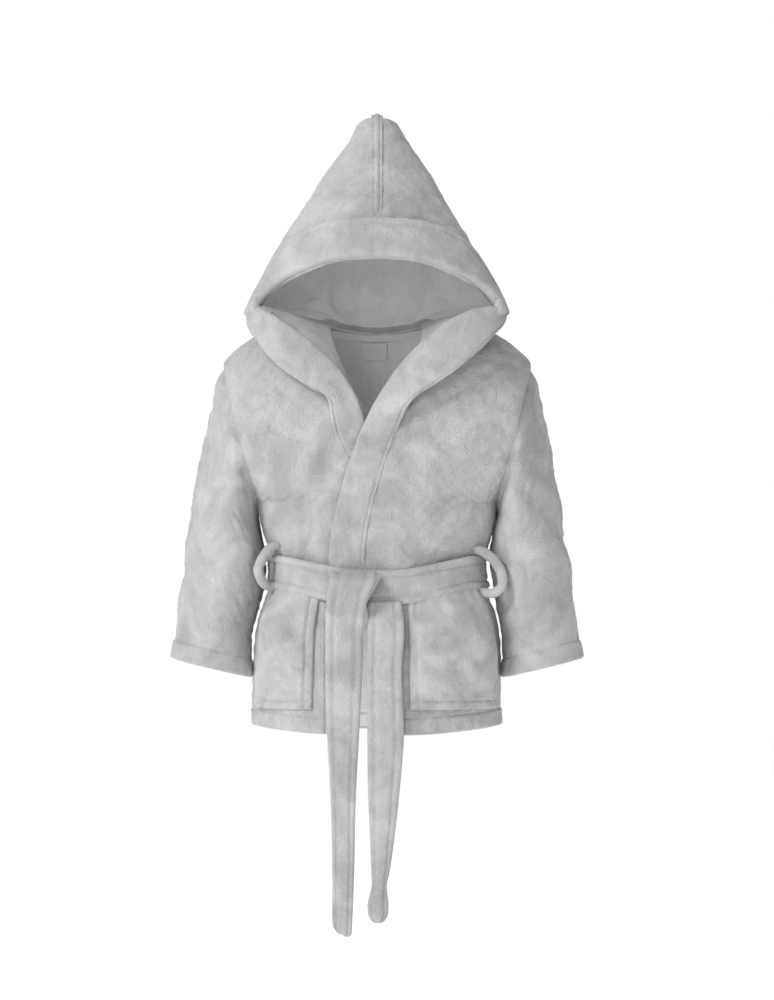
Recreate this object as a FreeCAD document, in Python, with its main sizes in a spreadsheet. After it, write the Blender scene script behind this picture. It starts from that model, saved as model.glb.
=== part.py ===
import FreeCAD, Part

# A small child's hooded wrap bathrobe in thick fleece, tied at the waist.
# Millimetres, +Z up. The wearer faces -Y and +X is the wearer's left.
# The origin is the middle of the back neck seam's height, above the centre of the shoulders.
# A cloth piece is a closed solid as thick as its cloth, and neighbours stand a seam gap apart.

import math
import os

import Sketcher
from FreeCAD import Placement, Vector

DRIVING = {
    "cloth": 3.0,  # one layer of fleece
    "double_cloth": 5.0,  # two layers pressed together, in the bands, the brim and the belt
    "seam_gap": 0.6,
    "robe_length": 426.0,
    "hem_half_width": 128.0,
    "hem_half_depth": 84.0,
    "hem_side_rise": 9.0,  # how far the hem climbs from the middle to the sides
    "chest_half_width": 123.0,
    "chest_half_depth": 77.0,
    "waist_drop": 256.0,
    "waist_tuck_x": 20.0,  # how far the belt draws the sides in
    "waist_tuck_y": 8.0,  # and the front and the back
    "waist_span": 50.0,
    "underarm_drop": 180.0,
    "shoulder_half_width": 160.0,
    "shoulder_drop": 37.0,
    "neck_side_rise": 6.0,
    "armhole_half_depth": 60.0,
    "neck_half_width": 62.0,
    "neck_back_depth": 56.0,
    "vee_drop": 91.0,
    "band_width": 38.0,
    "cuff_half_width": 40.0,
    "cuff_half_depth": 40.0,
    "cuff_centre_x": 174.0,
    "cuff_drop": 357.0,
    "cuff_slant": 10.0,
    "cuff_forward": 6.0,  # how far the cuffs hang in front of the shoulders
    "belt_half_height": 21.0,
    "belt_side_half_height": 17.0,
    "belt_front_dip": 18.0,
    "belt_stand_off": 5.8,  # from the torso to the belt's inner face
    "knot_width": 56.0,
    "knot_height": 44.0,
    "knot_depth": 18.0,
    "knot_rounding": 7.0,
    "waist_front": 87.0,  # y of the belt's outer face in front
    "knot_centre_x": -17.0,
    "knot_centre_drop": 274.0,
    "tail_front": 97.0,  # how far in front of the origin the belt ends' outer faces hang
    "tail_bend_drop": 432.0,
    "tail_bend_room": 4.0,
    "long_tail_width": 38.0,
    "long_tail_end_width": 27.0,
    "long_tail_centre_x": -33.5,
    "long_tail_top_drop": 299.5,
    "long_tail_end_drop": 637.0,
    "short_tail_width": 34.0,
    "short_tail_end_width": 22.0,
    "short_tail_centre_x": 11.0,
    "short_tail_top_drop": 301.0,
    "short_tail_end_drop": 619.0,
    "belt_loop_height": 54.0,
    "belt_loop_reach": 13.0,
    "belt_loop_strip": 6.0,
    "belt_loop_width": 13.0,
    "belt_loop_drop": 256.0,
    "belt_loop_x": 112.8,
    "pocket_bulge": 8.5,
    "pocket_bottom_drop": 399.0,
    "pocket_left_inner_x": 34.0,
    "pocket_right_inner_x": 66.0,
    "pocket_outer_angle": 22.0,
    "label_width": 26.0,
    "label_height": 18.0,
    "label_cloth": 0.8,
    "label_centre_x": -2.5,
    "label_y": 66.0,
    "label_drop": 31.0,
}
ROUNDNESS = 2.4  # exponent of the torso's oval section
SKIRT_SHARE = 0.55  # share of a panel's rows that lies below the underarm

doc = FreeCAD.newDocument("bathrobe")
sizes = doc.addObject("Spreadsheet::Sheet", "sizes")
for row, (alias, value) in enumerate(DRIVING.items(), start=1):
    sizes.set(f"A{row}", alias)
    sizes.set(f"B{row}", str(value))
    sizes.setAlias(f"B{row}", alias)
doc.recompute()


def mm(alias):
    """A driving dimension as a plain number, read from the sheet."""
    return float(sizes.get(alias))


def mix(a, b, share):
    return a + (b - a) * share


def smooth(share):
    share = min(1.0, max(0.0, share))
    return share * share * (3 - 2 * share)


def mirror(point):
    return Vector(-point.x, point.y, point.z)


def through(points, share):
    """A point on the smooth curve through a few points, with share from 0 to 1."""
    curve = Part.BSplineCurve()
    curve.interpolate(points)
    return curve.value(mix(curve.FirstParameter, curve.LastParameter, share))


# ------------------------------------------------------------ solids of cloth


def grid_of(surface, rows, columns, stand_off, ring, trim):
    """Points of surface(u, v), moved out along its normal by stand_off and then trimmed."""
    step = 1e-3
    grid = []
    for i in range(rows):
        line = []
        for j in range(columns):
            u, v = j / (columns - 1), i / (rows - 1)
            u0, u1 = (u - step, u + step) if ring else (max(0.0, u - step), min(1.0, u + step))
            v0, v1 = max(0.0, v - step), min(1.0, v + step)
            along = surface(u1, v) - surface(u0, v)
            across = surface(u, v1) - surface(u, v0)
            point = surface(u, v) + along.cross(across).normalize() * stand_off
            line.append(trim(point) if trim else point)
        grid.append(line)
    return grid


def curve_through(points):
    """The smooth curve through the points, at evenly spaced parameters."""
    curve = Part.BSplineCurve()
    last = len(points) - 1
    curve.interpolate(Points=points, Parameters=[i / last for i in range(last + 1)])
    return curve


def skin_through(grid):
    """The smooth surface through a grid of points: a curve along each row, then across them."""
    rows = [curve_through(row) for row in grid]
    columns = [curve_through(list(line)) for line in zip(*(row.getPoles() for row in rows))]
    poles = [list(line) for line in zip(*(column.getPoles() for column in columns))]
    row, column = rows[0], columns[0]
    skin = Part.BSplineSurface()
    skin.buildFromPolesMultsKnots(
        poles,
        column.getMultiplicities(),
        row.getMultiplicities(),
        column.getKnots(),
        row.getKnots(),
        False,
        False,
        column.Degree,
        row.Degree,
    )
    return skin


def edge_face(one, other):
    """The ruled face between two curves, whichever way round leaves it untwisted."""
    turned = other.copy()
    turned.reverse()
    faces = [Part.makeRuledSurface(one.toShape(), curve.toShape()) for curve in (other, turned)]
    return min(faces, key=lambda face: face.Area)


def cloth_solid(surface, inner, outer, rows, columns, ring=False, trim=None):
    """The solid between two stand-offs from surface(u, v). A ring closes on itself along u."""
    grids = [grid_of(surface, rows, columns, d, ring, trim) for d in (inner, outer)]
    skins = [skin_through(grid) for grid in grids]
    faces = [skin.toShape() for skin in skins]
    u0, u1, v0, v1 = skins[0].bounds()
    pairs = [[skin.uIso(u0) for skin in skins], [skin.uIso(u1) for skin in skins]]
    if not ring:
        pairs.append([skin.vIso(v0) for skin in skins])
        pairs.append([skin.vIso(v1) for skin in skins])
    for one, other in pairs:
        faces.append(edge_face(one, other))
    shell = Part.Shell(faces)
    shell.sewShape()
    solid = Part.Solid(shell)
    if solid.Volume < 0:
        solid.reverse()
    return solid


def cloth_piece(label, shape, mirrored=False):
    """A sub-part whose free-form shape comes from Part's own functions."""
    piece = doc.addObject("Part::Feature", label)
    piece.Label = label
    piece.Shape = shape.mirror(Vector(0, 0, 0), Vector(1, 0, 0)) if mirrored else shape
    piece.Placement = Placement()
    return piece


# ------------------------------------------------------------ the torso's form


def hem_z(x):
    """The hem's height, lowest in the middle."""
    return -mm("robe_length") + mm("hem_side_rise") * (x / mm("hem_half_width")) ** 2


def hem_share(z):
    """1 at the hem and 0 at the underarm."""
    return (mm("underarm_drop") + z) / (mm("underarm_drop") - mm("robe_length"))


def tuck(z):
    return math.exp(-(((z + mm("waist_drop")) / mm("waist_span")) ** 2))


def half_width(z):
    level = (z + mm("robe_length")) / (mm("robe_length") - mm("underarm_drop"))
    plain = mix(mm("hem_half_width"), mm("chest_half_width"), level)
    return plain - mm("waist_tuck_x") * tuck(z)


def half_depth(z):
    level = (z + mm("robe_length")) / (mm("robe_length") - mm("underarm_drop"))
    plain = mix(mm("hem_half_depth"), mm("chest_half_depth"), level)
    return plain - mm("waist_tuck_y") * tuck(z)


def signed_power(value, power):
    return math.copysign(abs(value) ** power, value)


def angle_at(x_share):
    """The oval's angle where x is that share of its half width: 0 at the side, 90 in front."""
    return math.acos(signed_power(max(-1.0, min(1.0, x_share)), ROUNDNESS / 2))


def below_underarm(angle, z):
    x = half_width(z) * signed_power(math.cos(angle), 2 / ROUNDNESS)
    y = half_depth(z) * signed_power(math.sin(angle), 2 / ROUNDNESS)
    return Vector(x, -y, z)


def shoulder_reach(rise):
    """The torso's half width above the underarm, with rise from 0 there to 1 at the shoulder."""
    return mix(half_width(-mm("underarm_drop")), mm("shoulder_half_width"), rise)


def above_underarm(angle, rise, back=False):
    """The torso from the armhole to the shoulder line, narrowing in depth to nothing on top."""
    x_share = signed_power(math.cos(angle), 2 / ROUNDNESS)
    y_share = signed_power(abs(math.sin(angle)), 2 / ROUNDNESS)
    x = x_share * shoulder_reach(rise)
    neck_share = rise * mm("neck_half_width") / mm("shoulder_half_width")
    slope = max(0.0, (abs(x_share) - neck_share) / (1 - neck_share))
    top = mix(0.0, mm("neck_side_rise"), rise * smooth(abs(x) / mm("neck_half_width")))
    z_middle = mix(-mm("underarm_drop"), top, rise)
    z_side = mix(-mm("underarm_drop"), -mm("shoulder_drop"), rise)
    side_depth = mm("armhole_half_depth") * max(0.0, math.sin(math.pi * rise)) ** 0.8
    middle_depth = half_depth(-mm("underarm_drop")) * math.sqrt(max(0.0, 1 - rise**4))
    if back:
        reach = smooth(1.15 * (1 - abs(x) / (1.2 * mm("neck_half_width"))))
        middle_depth += mm("neck_back_depth") * reach * rise**6
    depth = mix(side_depth, middle_depth, y_share)
    return Vector(x, depth if back else -depth, mix(z_middle, z_side, slope**2.4))


def torso_point(edge_x, across, up, back=False):
    """A panel's point: across runs from its edge to its side, and up from hem to shoulder."""
    if up <= SKIRT_SHARE:
        share = up / SKIRT_SHARE
        z = mix(-mm("robe_length"), -mm("underarm_drop"), share)
        angle = mix(angle_at(edge_x(z) / half_width(z)), 0.0, across)
        point = below_underarm(angle, z)
        point = below_underarm(angle, z + (hem_z(point.x) + mm("robe_length")) * (1 - share))
        return Vector(point.x, -point.y, point.z) if back else point
    share = (up - SKIRT_SHARE) / (1 - SKIRT_SHARE)
    rise = mix(share, (1 - math.cos(math.pi * share)) / 2, 0.5)
    z = mix(-mm("underarm_drop"), 0.0, rise)
    angle = mix(angle_at(edge_x(z) / shoulder_reach(rise)), 0.0, across)
    return above_underarm(angle, rise, back)


def front_point(x, z):
    """The front of the torso at a given x and height."""
    if z <= -mm("underarm_drop"):
        return below_underarm(angle_at(x / half_width(z)), z)
    rise = 1 + z / mm("underarm_drop")
    return above_underarm(angle_at(x / shoulder_reach(rise)), rise)


def seam_room(z):
    """How far a panel stays from the side seam, with a little more where the armhole begins."""
    return mm("seam_gap") + 1.5 * math.exp(-(((z + mm("underarm_drop") + 8.0) / 20.0) ** 2))


def behind_seams(point):
    """Keeps the back panel behind the side and shoulder seams."""
    return Vector(point.x, max(point.y, seam_room(point.z)), point.z)


def before_seams(point):
    """Keeps a front panel in front of the side and shoulder seams."""
    return Vector(point.x, min(point.y, -seam_room(point.z)), point.z)


# ------------------------------------------------------------ the fronts and their bands


def left_free_edge(z):
    """x of the left front's free edge. It laps over the right front above the belt."""
    skirt_x, belt_x, vee_x = -9.5, -50.0, -10.0
    belt_z, skirt_z = -243.0, -298.0
    if z < belt_z:
        return mix(skirt_x, belt_x, smooth((z - skirt_z) / (belt_z - skirt_z)))
    return mix(belt_x, vee_x, min(1.0, (z - belt_z) / (-mm("vee_drop") - belt_z)) ** 1.6)


def right_free_edge(z):
    """-x of the right front's free edge. It is hidden under the left front above the belt."""
    skirt_x, hidden_x, vee_x = 19.0, -12.0, 12.0
    skirt_z, hidden_z, turn_z = -298.0, -262.0, -160.0
    if z < hidden_z:
        return mix(skirt_x, hidden_x, smooth((z - skirt_z) / (hidden_z - skirt_z)))
    return mix(hidden_x, vee_x, smooth((z - turn_z) / (-mm("vee_drop") - turn_z)))


def panel_edge(free_edge):
    """x where a front panel starts: past its band, then along the neck up to the shoulder."""

    def edge(z):
        along_band = free_edge(z) + mm("band_width") + 2 * mm("seam_gap")
        rise = (z + mm("vee_drop") + 12.0) / (mm("vee_drop") + 12.0)
        return along_band if rise < 0 else mix(along_band, mm("neck_half_width"), smooth(rise))

    return edge


LAP_DEPTH = mm("double_cloth") + 2 * mm("seam_gap")  # the left band and the air beside it


def set_back(point):
    """A point of the right front, mirrored to +X, moved in where the left front covers it."""
    left_reach = mm("band_width") - left_free_edge(point.z)
    covered = smooth((left_reach + 8.0 - point.x) / 30.0)
    tied = smooth((point.z + 301.0) / 11.0)
    return point + Vector(0, LAP_DEPTH * covered * tied, 0)


def front_panel(free_edge, covered):
    edge = panel_edge(free_edge)

    def surface(u, v):
        point = torso_point(edge, 1 - u, v)
        return set_back(point) if covered else point

    return surface


def front_band(free_edge, covered):
    """The double strip along a front's free edge, and its rolled lapel above the crossing."""
    flat_share = 0.62
    top_z = -mm("vee_drop") - 14.0
    roll = [Vector(7, -79, -66), Vector(27, -77, -38), Vector(56, -72, -8), Vector(104, -62, 24)]
    outer = [Vector(38, -86, -77), Vector(62, -84, -58), Vector(89, -78, -36), Vector(128, -60, 4)]

    def flat_point(across, z):
        x = free_edge(z) + mm("band_width") * across
        point = front_point(x, z + max(0.0, (hem_z(x) + mm("robe_length")) * hem_share(z)))
        return set_back(point) if covered else point

    def surface(u, v):
        across = 1 - u
        if v <= flat_share:
            return flat_point(across, mix(-mm("robe_length"), top_z, v / flat_share))
        tracks = []
        for share, track in ((0.0, roll), (1.0, outer)):
            start = [flat_point(share, top_z - 24.0), flat_point(share, top_z)]
            lift = LAP_DEPTH if covered else 0.0
            tracks.append(start + [p + Vector(0, lift * (1 - i / 3), 0) for i, p in enumerate(track)])
        share = mix(0.2, 1.0, (v - flat_share) / (1 - flat_share))
        at_roll, at_outer = through(tracks[0], share), through(tracks[1], share)
        lifted = smooth((v - flat_share) / (1 - flat_share) * 2)
        return at_roll + (at_outer - at_roll) * across + Vector(0, -5 * math.sin(math.pi * u) * lifted, 0)

    return surface


def lapel_facing(free_edge, covered):
    """The lapel's inner cloth, from just behind its rolled edge back to the neck seam."""
    band, panel = front_band(free_edge, covered), front_panel(free_edge, covered)

    def surface(u, v):
        at_roll = band(0.85, mix(0.68, 1.0, v)) + Vector(0, 4.0, 0)
        at_neck = panel(1.0, mix(0.79, 0.965, v)) + Vector(-6.0, 2.0, 0)
        return at_roll + (at_neck - at_roll) * u

    return surface


# ------------------------------------------------------------ the hood

HOOD_SECTIONS = {  # height: half width, y of the front, y of the back
    4: (60, -62, 58),
    12: (104, -82, 70),
    24: (123, -94, 82),
    38: (125, -101, 89),
    52: (120, -104, 93),
    93: (98, -97, 92),
    155: (59, -62, 72),
    197: (31, -27, 46),
    213: (18, -10, 31),
    221: (4, 5, 17),
}
HOOD_RIM = {0: 70, 24: 66, 41: 55, 56: 42, 67: 24, 76: 13, 92: 8, 130: 6, 180: 5}
HOOD_PEAK = 221.0
BRIM_WELT = {0: 111, 35: 106, 55: 95, 70: 79, 84: 50, 92: 20}
BRIM_FOLD = {0: 70, 24: 66, 41: 55, 56: 42, 67: 24, 74: 16}


def along(table, value):
    """A smooth reading of a table of heights or angles: a vector of up to three values."""
    rows = [entry if isinstance(entry, tuple) else (entry, 0, 0) for entry in table.values()]
    curve = Part.BSplineCurve()
    curve.interpolate(Points=[Vector(*entry) for entry in rows], Parameters=[float(k) for k in table])
    return curve.value(value)


def hood_form(degrees, z):
    """The hood's outer form at an angle from 0 in front to 180 at the back."""
    section = along(HOOD_SECTIONS, z)
    turn = math.radians(degrees)
    x = section.x * math.sin(turn)
    return Vector(x, mix(section.y, section.z, (1 - math.cos(turn)) / 2), z)


def hood_side(u, v):
    """The hood's left side: u runs from front to back and v from its lower edge to the peak."""
    degrees = mix(0.6, 179.6, u)
    return hood_form(degrees, mix(along(HOOD_RIM, degrees).x, HOOD_PEAK, v))


def brim(u, v):
    """The turned-back brim, from its left corner over the face opening to its right corner."""
    share = abs(2 * v - 1)
    fold = mix(0.0, max(BRIM_FOLD), share)
    welt = mix(0.0, max(BRIM_WELT), share)
    z = mix(along(BRIM_FOLD, fold).x, along(BRIM_WELT, welt).x, u)
    point = hood_form(mix(fold, welt, u), z)
    return point if v < 0.5 else mirror(point)


def hood_ridge(u, v):
    """A narrow strip over the hood's middle seam, from the brim over the peak to the neck."""
    rise = [hood_form(0, z) for z in (117, 135, 155, 176, 197, 212, 219)]
    fall = [hood_form(180, z) for z in (219, 212, 197, 176, 155, 93, 52, 24)]
    return through(rise + [Vector(0, 11, 222)] + fall, v) + Vector(mix(-5.0, 5.0, u), 0, 0)


# ------------------------------------------------------------ sleeves


def sleeve(u, v):
    """The left sleeve's outer skin: u runs round it and v from the armhole to the cuff."""
    turn = 2 * math.pi * u
    start = mm("cloth") + 4 * mm("seam_gap")
    rise = (1 - math.cos(turn)) / 2
    arm = above_underarm(0.0, rise)
    armhole = Vector(arm.x + start, math.copysign(arm.y, math.sin(turn)), arm.z)
    centre_z = -mm("cuff_drop")
    inward = math.cos(turn)
    cuff = Vector(
        mm("cuff_centre_x") - mm("cuff_half_width") * inward,
        mm("cuff_half_depth") * math.sin(turn) - mm("cuff_forward"),
        centre_z - mm("cuff_slant") * inward,
    )
    outer_swell = 7.0 * math.sin(math.pi * v) * rise
    return armhole + (cuff - armhole) * v + Vector(outer_swell, 0, 0)


# ------------------------------------------------------------ belt, pockets and small pieces


def belt_centre_z(angle):
    """The belt's middle line, which dips to the knot in front."""
    return -mm("waist_drop") - mm("belt_front_dip") * max(0.0, math.sin(angle)) ** 4


def belt_half_height_at(angle):
    return mix(mm("belt_side_half_height"), mm("belt_half_height"), smooth(abs(math.sin(angle))))


def belt_wrap(u, v):
    angle = 2 * math.pi * u
    z = belt_centre_z(angle) + belt_half_height_at(angle) * (1 - 2 * v)
    return below_underarm(angle, z)


def pocket(inner_x):
    """A patch pocket's inner skin, tight at its sides and bottom and open along its top."""

    def surface(u, v):
        inner_angle = angle_at(inner_x / mm("hem_half_width"))
        angle = mix(math.radians(mm("pocket_outer_angle")), inner_angle, u)
        belt_bottom = belt_centre_z(angle) - belt_half_height_at(angle)
        z = mix(-mm("pocket_bottom_drop"), belt_bottom - 3.0, v)
        rim = (1 - (2 * u - 1) ** 4) * smooth(v * 3.0)
        point = below_underarm(angle, z)
        outward = Vector(point.x / half_width(z) ** 2, point.y / half_depth(z) ** 2, 0).normalize()
        return point + outward * (mm("cloth") + 2 * mm("seam_gap") + mm("pocket_bulge") * rim)

    return surface


def back_surface(u, v):
    """The back panel's inner face, from its right side to its left."""
    half = 2 * u - 1
    point = torso_point(lambda z: 0.0, abs(half), v, back=True)
    return point if half > 0 else mirror(point)


def neck_tape(u, v):
    """A tape along the inside of the back neck seam."""
    return back_surface(mix(0.37, 0.63, u), mix(0.955, 0.985, v))


def origin_plane(body, role):
    return next(item for item in body.Origin.OriginFeatures if item.Role == role)


def sheet_body(label):
    body = doc.addObject("PartDesign::Body", label)
    body.Label = label
    return body


def bound_outline(body, role, corners):
    """A sketch of straight sides, with every corner's two coordinates bound to the sheet."""
    sketch = body.newObject("Sketcher::SketchObject", body.Label + "_outline")
    sketch.AttachmentSupport = (origin_plane(body, role), "")
    sketch.MapMode = "FlatFace"
    values = [[float(sketch.evalExpression(term)) for term in corner] for corner in corners]
    count = len(values)
    for i in range(count):
        ends = Vector(*values[i], 0), Vector(*values[(i + 1) % count], 0)
        sketch.addGeometry(Part.LineSegment(*ends), False)
    for i in range(count):
        sketch.addConstraint(Sketcher.Constraint("Coincident", i, 2, (i + 1) % count, 1))
    for i, corner in enumerate(corners):
        for kind, term, value in zip(("DistanceX", "DistanceY"), corner, values[i]):
            number = sketch.addConstraint(Sketcher.Constraint(kind, -1, 1, i, 1, value))
            sketch.setExpression(f"Constraints[{number}]", term)
    return sketch


def padded_body(label, corners, length, place, midplane=False, rounding=None):
    """A body padded from an outline in the XZ plane towards -Y, with its edges rounded."""
    body = sheet_body(label)
    sketch = bound_outline(body, "XZ_Plane", corners)
    pad = body.newObject("PartDesign::Pad", label + "_pad")
    pad.Profile = sketch
    pad.setExpression("Length", length)
    pad.Midplane = midplane
    sketch.Visibility = False
    doc.recompute()
    if rounding:
        fillet = body.newObject("PartDesign::Fillet", label + "_rounding")
        fillet.Base = (pad, [f"Edge{i + 1}" for i in range(len(pad.Shape.Edges))])
        fillet.setExpression("Radius", rounding)
        body.Tip = fillet
    for axis, term in zip("xyz", place):
        body.setExpression(f"Placement.Base.{axis}", term)
    return body


def build_robe():
    cloth, double = mm("cloth"), mm("double_cloth")
    back = cloth_solid(back_surface, -cloth, 0, 41, 33, trim=behind_seams)
    cloth_piece("back_panel", back)
    sides = (("left", left_free_edge, False), ("right", right_free_edge, True))
    for name, free_edge, covered in sides:
        panel = cloth_solid(front_panel(free_edge, covered), -cloth, 0, 29, 11, trim=before_seams)
        cloth_piece(f"front_{name}", panel, covered)
        band = cloth_solid(front_band(free_edge, covered), -double, 0, 39, 7)
        cloth_piece(f"front_band_{name}", band, covered)
        facing = cloth_solid(lapel_facing(free_edge, covered), -cloth, 0, 9, 5)
        cloth_piece(f"lapel_facing_{name}", facing, covered)
        patch = cloth_solid(pocket(mm(f"pocket_{name}_inner_x")), -cloth, 0, 9, 11)
        cloth_piece(f"pocket_{name}", patch, covered)
    cloth_piece("neck_tape", cloth_solid(neck_tape, 2.0, 3.2, 3, 17))


def build_hood():
    cloth, double = mm("cloth"), mm("double_cloth")
    side = cloth_solid(hood_side, -cloth, 0, 17, 19)
    cloth_piece("hood_left", side)
    cloth_piece("hood_right", side, True)
    cloth_piece("hood_brim", cloth_solid(brim, 2.4, 2.4 + double, 41, 7))
    cloth_piece("hood_ridge_strip", cloth_solid(hood_ridge, 1.2, 3.4, 33, 3))


def build_sleeves():
    arm = cloth_solid(sleeve, -mm("cloth"), 0, 11, 25, ring=True)
    cloth_piece("sleeve_left", arm)
    cloth_piece("sleeve_right", arm, True)


def build_belt():
    inner = mm("belt_stand_off")
    cloth_piece("belt_wrap", cloth_solid(belt_wrap, inner, inner + mm("double_cloth"), 5, 49, True))
    right, high = "sizes.knot_width / 2", "sizes.knot_height / 2"
    left, low = f"-{right}", f"-{high}"
    corners = [(left, low), (right, low), (right, high), (left, high)]
    back_y = "-(sizes.waist_front + sizes.seam_gap)"
    place = ("sizes.knot_centre_x", back_y, "-sizes.knot_centre_drop")
    padded_body("belt_knot", corners, "sizes.knot_depth", place, rounding="sizes.knot_rounding")
    for name in ("long_tail", "short_tail"):
        build_tail(name)


def build_tail(name):
    """A belt end in two segments, narrowing downward, with room to bend between them."""
    top, end = f"sizes.{name}_width / 2", f"sizes.{name}_end_width / 2"
    bend = f"({top} + {end}) / 2"
    place = (f"sizes.{name}_centre_x", "-(sizes.tail_front - sizes.double_cloth)", "0")
    high, low = f"-sizes.{name}_top_drop", f"-sizes.{name}_end_drop"
    above, below = "-sizes.tail_bend_drop", "-(sizes.tail_bend_drop + sizes.tail_bend_room)"
    upper = [(f"-{top}", high), (f"-({bend})", above), (bend, above), (top, high)]
    padded_body(f"{name}_upper", upper, "sizes.double_cloth", place)
    point = f"{low} + 10"
    lower = [(f"-({bend})", below), (f"-{end}", point), ("0", low), (end, point), (bend, below)]
    padded_body(f"{name}_lower", lower, "sizes.double_cloth", place)


def build_belt_loop(name, side):
    """A C-shaped strip standing off the side seam, with the belt between it and the robe."""
    half, reach, strip = "sizes.belt_loop_height / 2", "sizes.belt_loop_reach", "sizes.belt_loop_strip"
    inner_half, inner_reach = f"({half} - {strip})", f"({reach} - {strip})"
    corners = [
        ("0", f"{half} - 2"),
        (f"{side} * {reach} / 2", half),
        (f"{side} * {reach}", f"{half} - 6"),
        (f"{side} * {reach}", f"-({half} - 6)"),
        (f"{side} * {reach} / 2", f"-{half}"),
        ("0", f"-({half} - 2)"),
        ("0", f"-({inner_half} - 1)"),
        (f"{side} * {inner_reach}", f"-({inner_half} - 2)"),
        (f"{side} * {inner_reach}", f"{inner_half} - 2"),
        ("0", f"{inner_half} - 1"),
    ]
    place = (f"{side} * sizes.belt_loop_x", "0", "-sizes.belt_loop_drop")
    padded_body(name, corners, "sizes.belt_loop_width", place, midplane=True)


def build_small_pieces():
    build_belt_loop("belt_loop_left", 1)
    build_belt_loop("belt_loop_right", -1)
    label = doc.addObject("Part::Box", "neck_label")
    label.Label = "neck_label"
    for side, size in (("Length", "width"), ("Width", "cloth"), ("Height", "height")):
        label.setExpression(side, f"sizes.label_{size}")
    place = ("sizes.label_centre_x - sizes.label_width / 2", "sizes.label_y", "-sizes.label_drop")
    for axis, term in zip("xyz", place):
        label.setExpression(f"Placement.Base.{axis}", term)


def write_parts():
    """Check every object, then write each sub-part's STEP file."""
    doc.recompute()
    failed = [item.Name for item in doc.Objects if {"Invalid", "Error"} & set(item.State)]
    kinds = ("Part::Feature", "PartDesign::Body", "Part::Box")
    pieces = [item for item in doc.Objects if item.TypeId in kinds]
    for piece in pieces:
        if piece.Shape.isNull() or not piece.Shape.isValid() or piece.Shape.Volume <= 0:
            failed.append(piece.Label)
    if failed:
        raise RuntimeError(f"these pieces aren't sound: {failed}")
    os.makedirs("parts", exist_ok=True)
    for piece in pieces:
        box = piece.Shape.BoundBox
        reach = [round(q, 1) for q in (box.XMin, box.XMax, box.YMin, box.YMax, box.ZMin, box.ZMax)]
        print(piece.Label, len(piece.Shape.Solids), round(piece.Shape.Volume / 1000, 2), "cm3", reach)
        piece.Shape.exportStep(f"parts/{piece.Label}.step")


build_robe()
build_hood()
build_sleeves()
build_belt()
build_small_pieces()
write_parts()
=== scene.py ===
# A small child's hooded wrap bathrobe in plush fleece, with its belt tied.
# Lengths are in millimetres, as in the part's source, until a mesh is made. +X is the wearer's left.

import math

import bpy
import numpy as np
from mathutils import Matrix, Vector


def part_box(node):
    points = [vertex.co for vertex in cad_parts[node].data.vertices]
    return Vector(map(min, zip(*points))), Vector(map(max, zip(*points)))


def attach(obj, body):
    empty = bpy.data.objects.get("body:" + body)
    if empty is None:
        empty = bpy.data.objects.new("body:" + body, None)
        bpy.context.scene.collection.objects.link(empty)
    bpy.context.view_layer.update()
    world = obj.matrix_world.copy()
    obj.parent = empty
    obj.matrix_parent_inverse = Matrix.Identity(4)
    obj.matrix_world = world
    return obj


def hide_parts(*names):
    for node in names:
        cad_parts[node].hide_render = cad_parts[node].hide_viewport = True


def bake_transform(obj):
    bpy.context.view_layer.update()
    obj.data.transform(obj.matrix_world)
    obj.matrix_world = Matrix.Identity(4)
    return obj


METRES = 0.001
TINY = 1e-6
MIRROR = np.array([-1.0, 1.0, 1.0])

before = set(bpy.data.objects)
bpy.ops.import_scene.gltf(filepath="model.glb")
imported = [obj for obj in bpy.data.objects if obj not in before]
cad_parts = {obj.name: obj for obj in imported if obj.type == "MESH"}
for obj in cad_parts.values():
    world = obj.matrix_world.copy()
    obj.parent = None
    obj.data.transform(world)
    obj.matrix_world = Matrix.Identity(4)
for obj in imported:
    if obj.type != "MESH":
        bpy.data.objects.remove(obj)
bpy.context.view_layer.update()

# ---------- sizes shared with the CAD part

ROBE_LENGTH = -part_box("back_panel")[0].z / METRES
HEM_HALF_WIDTH, HEM_HALF_DEPTH, HEM_SIDE_RISE = 128.0, 84.0, 9.0
CHEST_HALF_WIDTH, CHEST_HALF_DEPTH = 123.0, 77.0
WAIST_DROP, WAIST_TUCK_X, WAIST_TUCK_Y, WAIST_SPAN = 256.0, 20.0, 8.0, 42.0
UNDERARM_DROP, ARMHOLE_HALF_DEPTH = 180.0, 60.0
SHOULDER_HALF_WIDTH, SHOULDER_DROP = 160.0, 37.0
NECK_SIDE_RISE, NECK_HALF_WIDTH, NECK_BACK_DEPTH = 6.0, 62.0, 56.0
VEE_DROP, BAND_WIDTH = 91.0, 38.0
CUFF_X, CUFF_DROP, CUFF_SLANT = 174.0, 357.0, 10.0
CUFF_HALF_WIDTH, CUFF_HALF_DEPTH = 40.0, 40.0
BELT_HALF_HEIGHT, BELT_SIDE_HALF_HEIGHT, BELT_FRONT_DIP = 19.0, 20.5, 17.0
POCKET_BOTTOM_DROP, POCKET_BULGE, POCKET_OUTER_ANGLE = 399.0, 8.5, 22.0
ROUNDNESS, SKIRT_SHARE, ARMHOLE_FULLNESS = 2.4, 0.55, 0.8
SHOULDER_CURVE, CHEST_CURVE, NECK_CURVE = 2.4, 4, 6  # exponents of the slopes up to the shoulder line
NECK_FULLNESS, NECK_SPREAD = 1.15, 1.2
CLOTH, LAP_DEPTH = 3.0, 6.2

# ---------- arithmetic on arrays of points


def mix(a, b, share):
    return a + (b - a) * share


def smooth(share):
    share = np.clip(share, 0.0, 1.0)
    return share * share * (3 - 2 * share)


def power(value, exponent):
    return np.sign(value) * np.abs(value) ** exponent


def bump(value, centre, width):
    """1 at the centre, falling smoothly to nothing a few widths away."""
    return np.exp(-(((value - centre) / width) ** 2))


def stack(x, y, z):
    return np.stack(np.broadcast_arrays(x, y, z), axis=-1).astype(float)


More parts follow.
